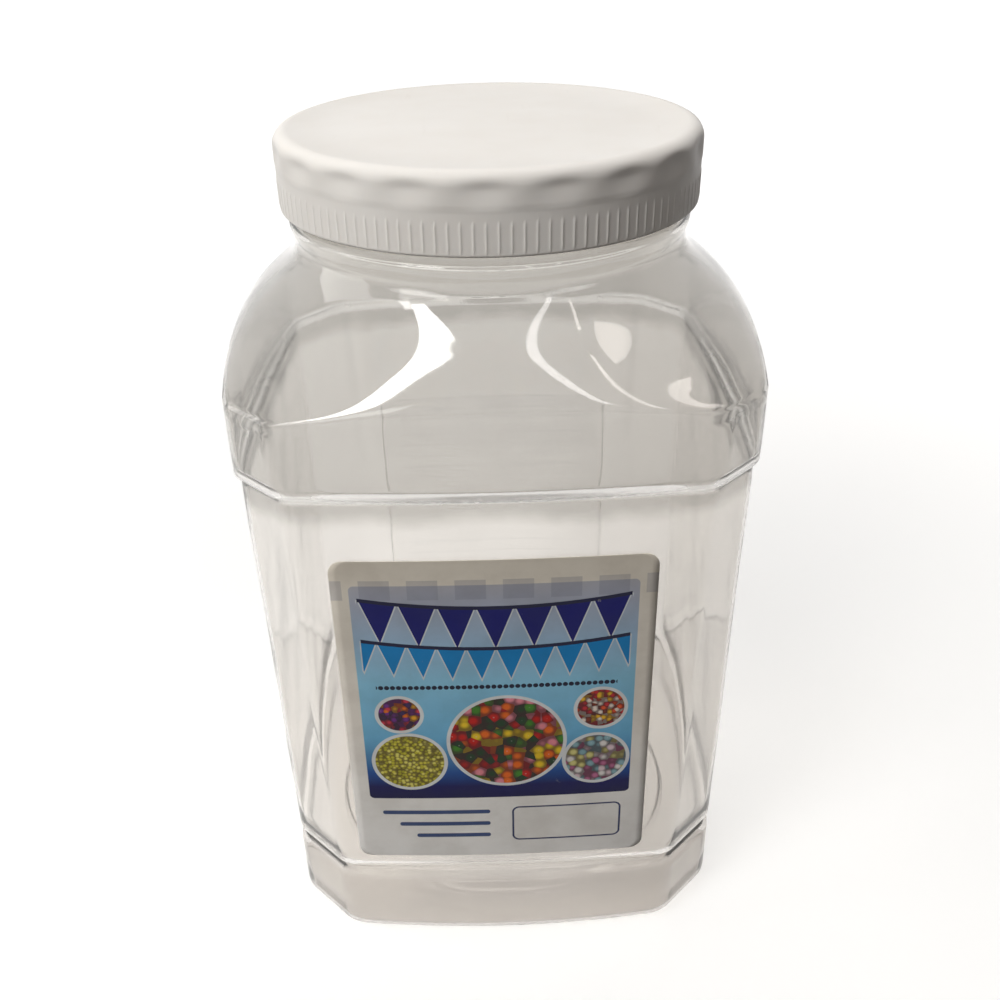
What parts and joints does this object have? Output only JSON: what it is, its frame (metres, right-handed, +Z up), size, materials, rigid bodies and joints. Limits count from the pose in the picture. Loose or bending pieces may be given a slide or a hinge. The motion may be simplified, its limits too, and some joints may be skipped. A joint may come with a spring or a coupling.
{
  "type": "stackable storage jar",
  "caption": "Clear square food jar with cut corners, a ledge under a bowed shoulder, round threaded neck, white screw cap, sealing disc and film labels; its hollow base stacks on a cap.",
  "frame": {"origin": "centre of the base, on the surface that the jar stands on", "axes": "+Z up along the axis of the neck and cap, -Y the front with the large label, +X to the right seen from the front"},
  "size_m": [0.1506, 0.1506, 0.2478],
  "materials": {
    "clear_plastic": "clear, glossy, faintly warm grey",
    "white_plastic": "satin white",
    "seal_foam": "soft matte",
    "printed_film": "printed, satin",
    "rear_film": "satin"
  },
  "bodies": {
    "jar": {"jar_body": "clear_plastic", "front_label": "printed_film", "rear_label": "rear_film"},
    "disc": {"seal_disc": "seal_foam"},
    "cap": {"screw_cap": "white_plastic"}
  },
  "joints": [
    {"name": "cap_lift", "type": "slide", "parent": "jar", "child": "disc", "axis": [0, 0, 1], "range_m": [0, 0.0204]},
    {"name": "cap_turn", "type": "hinge", "parent": "disc", "child": "cap", "pos_m": [0, 0, 0.2455], "axis": [0, 0, 1], "range_deg": [0, 1440]}
  ],
  "couplings": [
    {"joint": "cap_lift", "follows": "cap_turn", "m_per_rad": 0.00080851}
  ]
}
